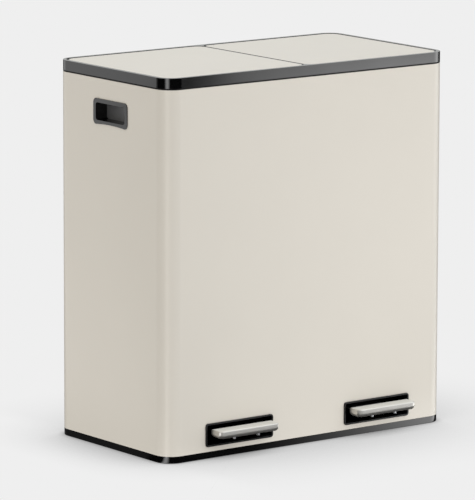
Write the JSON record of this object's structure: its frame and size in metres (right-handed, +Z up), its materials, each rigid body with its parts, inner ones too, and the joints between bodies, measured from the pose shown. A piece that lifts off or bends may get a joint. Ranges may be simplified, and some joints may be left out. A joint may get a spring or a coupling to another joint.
{
  "type": "two-compartment pedal bin",
  "caption": "Free-standing recycling pedal bin: steel shell between plastic bands, hinged lids opened by pedals through push rods, lift-out buckets inside.",
  "frame": {"origin": "centre of the body's footprint on the floor, on the underside of the middle rubber foot", "axes": "+Z up; +Y from the pedals at the front to the hinges at the back; +X to the right seen from the front"},
  "size_m": [0.601, 0.3537, 0.65],
  "materials": {
    "cream_paint": "satin powder coat",
    "black_plastic": "satin moulded",
    "bucket_plastic": "matt moulded",
    "stainless": "brushed along its length",
    "zinc_steel": "zinc plated",
    "rubber": "matt"
  },
  "bodies": {
    "cabinet": {"body_shell": "cream_paint", "top_frame": "black_plastic", "base_tray": "black_plastic", "inner_floor": "black_plastic", "floor_screws": "zinc_steel", "feet": "rubber", "lid_bumpers": "rubber", "handle_left": "black_plastic", "handle_right": "black_plastic", "pedal_bezel_left": "black_plastic", "pedal_bezel_right": "black_plastic", "bucket_left": "bucket_plastic", "bucket_right": "bucket_plastic", "pedal_axle_left": "zinc_steel", "pedal_axle_right": "zinc_steel", "axle_clips": "zinc_steel", "hinge_pins_left": "zinc_steel", "hinge_pins_right": "zinc_steel", "damper_cylinder_left": "zinc_steel", "damper_cylinder_right": "zinc_steel", "rod_guides_left": "black_plastic", "rod_guides_right": "black_plastic", "guide_screws": "zinc_steel"},
    "lid_left": {"lid_panel_left": "cream_paint", "lid_frame_left": "black_plastic", "lid_crank_left": "zinc_steel", "crank_screws_left": "zinc_steel"},
    "pedal_left": {"pedal_lever_left": "zinc_steel", "pedal_pad_left": "stainless", "pedal_core_left": "black_plastic", "pedal_screws_left": "zinc_steel", "lever_tip_left": "black_plastic"},
    "rod_left": {"push_rod_left": "zinc_steel", "rod_foot_left": "black_plastic", "damper_piston_left": "black_plastic"},
    "lid_right": {"lid_panel_right": "cream_paint", "lid_frame_right": "black_plastic", "lid_crank_right": "zinc_steel", "crank_screws_right": "zinc_steel"},
    "pedal_right": {"pedal_lever_right": "zinc_steel", "pedal_pad_right": "stainless", "pedal_core_right": "black_plastic", "pedal_screws_right": "zinc_steel", "lever_tip_right": "black_plastic"},
    "rod_right": {"push_rod_right": "zinc_steel", "rod_foot_right": "black_plastic", "damper_piston_right": "black_plastic"}
  },
  "joints": [
    {"name": "lid_left_hinge", "type": "hinge", "parent": "cabinet", "child": "lid_left", "pos_m": [-0.146, 0.1375, 0.646], "axis": [-1, 0, 0], "range_deg": [0, 80]},
    {"name": "pedal_left_hinge", "type": "hinge", "parent": "cabinet", "child": "pedal_left", "pos_m": [-0.148, -0.05, 0.0355], "axis": [1, 0, 0], "range_deg": [0, 8.54]},
    {"name": "rod_left_slide", "type": "slide", "parent": "cabinet", "child": "rod_left", "axis": [0, 0, 1], "range_m": [0, 0.02571]},
    {"name": "lid_right_hinge", "type": "hinge", "parent": "cabinet", "child": "lid_right", "pos_m": [0.146, 0.1375, 0.646], "axis": [-1, 0, 0], "range_deg": [0, 80]},
    {"name": "pedal_right_hinge", "type": "hinge", "parent": "cabinet", "child": "pedal_right", "pos_m": [0.148, -0.05, 0.0355], "axis": [1, 0, 0], "range_deg": [0, 8.54]},
    {"name": "rod_right_slide", "type": "slide", "parent": "cabinet", "child": "rod_right", "axis": [0, 0, 1], "range_m": [0, 0.02571]}
  ],
  "couplings": [
    {"joint": "pedal_left_hinge", "follows": "lid_left_hinge", "ratio": 0.10675},
    {"joint": "rod_left_slide", "follows": "lid_left_hinge", "m_per_rad": 0.018415},
    {"joint": "pedal_right_hinge", "follows": "lid_right_hinge", "ratio": 0.10675},
    {"joint": "rod_right_slide", "follows": "lid_right_hinge", "m_per_rad": 0.018415}
  ]
}
